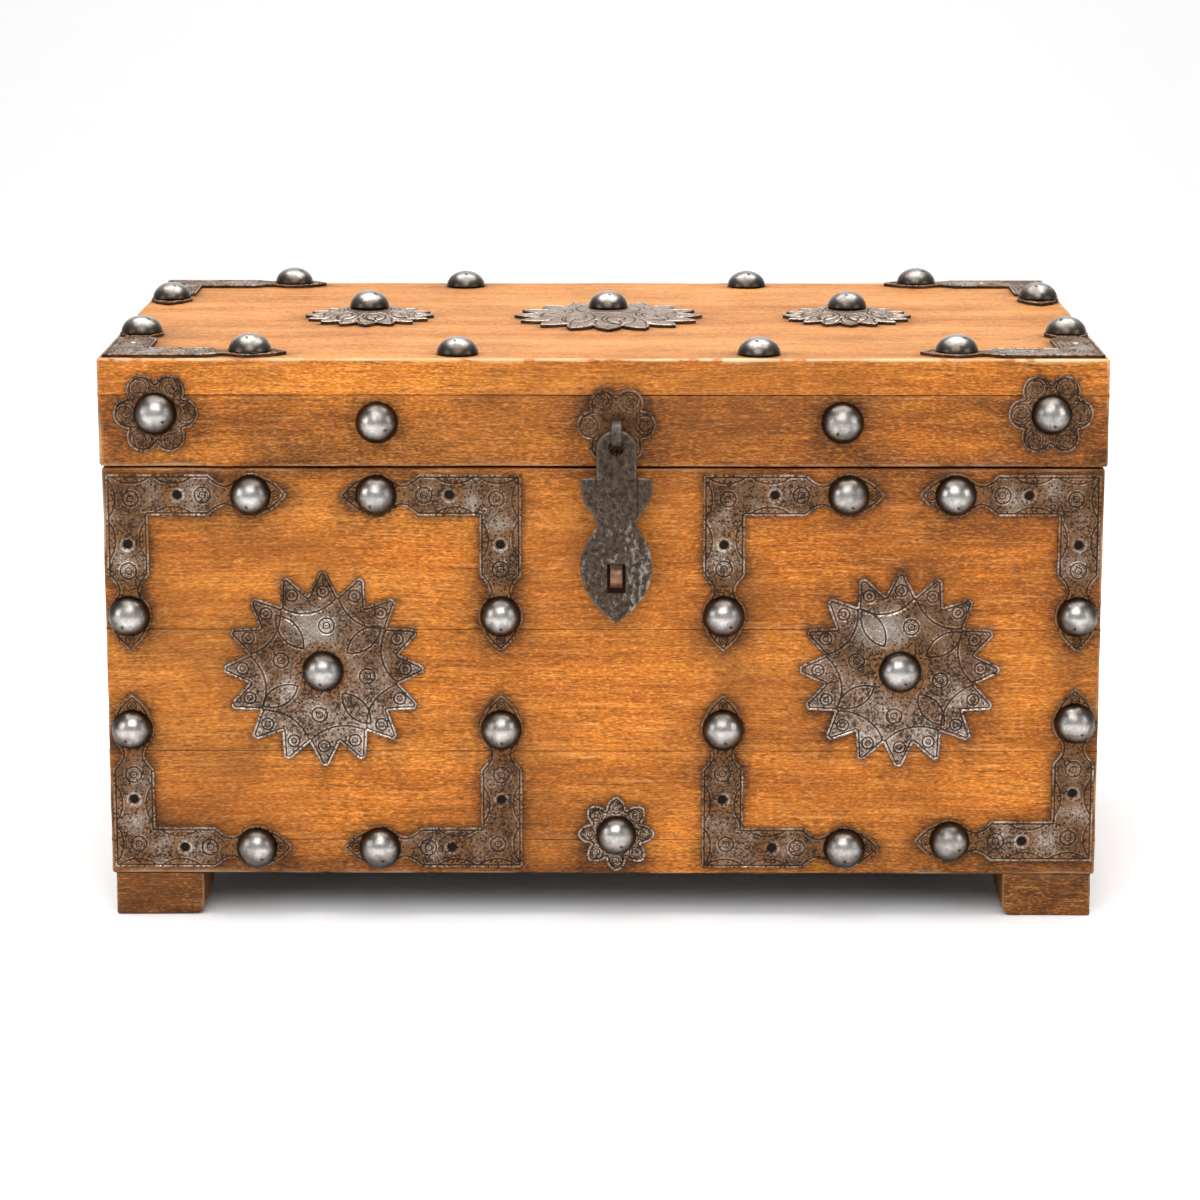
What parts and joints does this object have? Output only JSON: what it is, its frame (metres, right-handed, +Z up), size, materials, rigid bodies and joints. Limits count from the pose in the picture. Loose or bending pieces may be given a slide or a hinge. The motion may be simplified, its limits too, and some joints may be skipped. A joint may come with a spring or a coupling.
{
  "type": "wooden trunk",
  "caption": "Rectangular wooden trunk on block feet with a hinged lid, star plates, corner brackets and dome-headed nails in iron, a hasp over a staple and drop handles.",
  "frame": {"origin": "on the floor below the middle of the bounding box", "axes": "+X to the right along the front, +Y to the back, +Z up; the front with the hasp faces -Y"},
  "size_m": [0.6238, 0.357, 0.3632],
  "materials": {
    "honey_wood": "waxed, worn satin",
    "worn_wood": "waxed, rubbed pale",
    "chased_iron": "chased sheet iron with rust in the recesses",
    "dark_iron": "burnished dark iron"
  },
  "bodies": {
    "trunk_body": {"back_board_lower": "honey_wood", "back_board_upper": "honey_wood", "bottom_board": "honey_wood", "bottom_rosette": "chased_iron", "foot_back_left": "honey_wood", "foot_back_right": "honey_wood", "foot_front_left": "honey_wood", "foot_front_right": "honey_wood", "front_board_lower": "honey_wood", "front_board_middle": "honey_wood", "front_board_upper": "honey_wood", "left_end_lower": "honey_wood", "left_end_upper": "honey_wood", "left_handle_plate": "dark_iron", "left_hinge_body_strap": "dark_iron", "left_hinge_pin": "dark_iron", "left_star_bracket_bottom_left": "chased_iron", "left_star_bracket_bottom_right": "chased_iron", "left_star_bracket_top_left": "chased_iron", "left_star_bracket_top_right": "chased_iron", "lock_staple": "dark_iron", "right_end_lower": "honey_wood", "right_end_upper": "honey_wood", "right_handle_plate": "dark_iron", "right_hinge_body_strap": "dark_iron", "right_hinge_pin": "dark_iron", "right_star_bracket_bottom_left": "chased_iron", "right_star_bracket_bottom_right": "chased_iron", "right_star_bracket_top_left": "chased_iron", "right_star_bracket_top_right": "chased_iron", "star_plate_left": "chased_iron", "star_plate_right": "chased_iron"},
    "lid": {"hasp_rosette": "chased_iron", "hasp_staple": "dark_iron", "left_hinge_lid_strap": "dark_iron", "lid_back_rail": "honey_wood", "lid_bracket_back_left": "chased_iron", "lid_bracket_back_right": "chased_iron", "lid_bracket_front_left": "chased_iron", "lid_bracket_front_right": "chased_iron", "lid_front_rail": "honey_wood", "lid_front_stud_left": "dark_iron", "lid_front_stud_right": "dark_iron", "lid_left_rail": "honey_wood", "lid_right_rail": "honey_wood", "lid_rosette_left": "chased_iron", "lid_rosette_right": "chased_iron", "lid_top_back_board": "worn_wood", "lid_top_front_board": "worn_wood", "lid_top_stud_back_left": "dark_iron", "lid_top_stud_back_right": "dark_iron", "lid_top_stud_front_left": "dark_iron", "lid_top_stud_front_right": "dark_iron", "medallion_centre": "chased_iron", "medallion_left": "chased_iron", "medallion_right": "chased_iron", "right_hinge_lid_strap": "dark_iron"},
    "hasp": {"hasp": "dark_iron"},
    "left_handle": {"left_handle": "dark_iron"},
    "right_handle": {"right_handle": "dark_iron"}
  },
  "joints": [
    {"name": "lid_open", "type": "hinge", "parent": "trunk_body", "child": "lid", "pos_m": [0, 0.1736, 0.2796], "axis": [-1, 0, 0], "range_deg": [0, 105]},
    {"name": "hasp_swing", "type": "hinge", "parent": "lid", "child": "hasp", "pos_m": [0.008, -0.1721, 0.3017], "axis": [-1, 0, 0], "range_deg": [-4.5, 170]},
    {"name": "left_handle_swing", "type": "hinge", "parent": "trunk_body", "child": "left_handle", "pos_m": [-0.3064, 0.0038, 0.1765], "axis": [0, 1, 0], "range_deg": [0, 175]},
    {"name": "right_handle_swing", "type": "hinge", "parent": "trunk_body", "child": "right_handle", "pos_m": [0.3064, 0.0038, 0.1765], "axis": [0, -1, 0], "range_deg": [0, 175]}
  ]
}
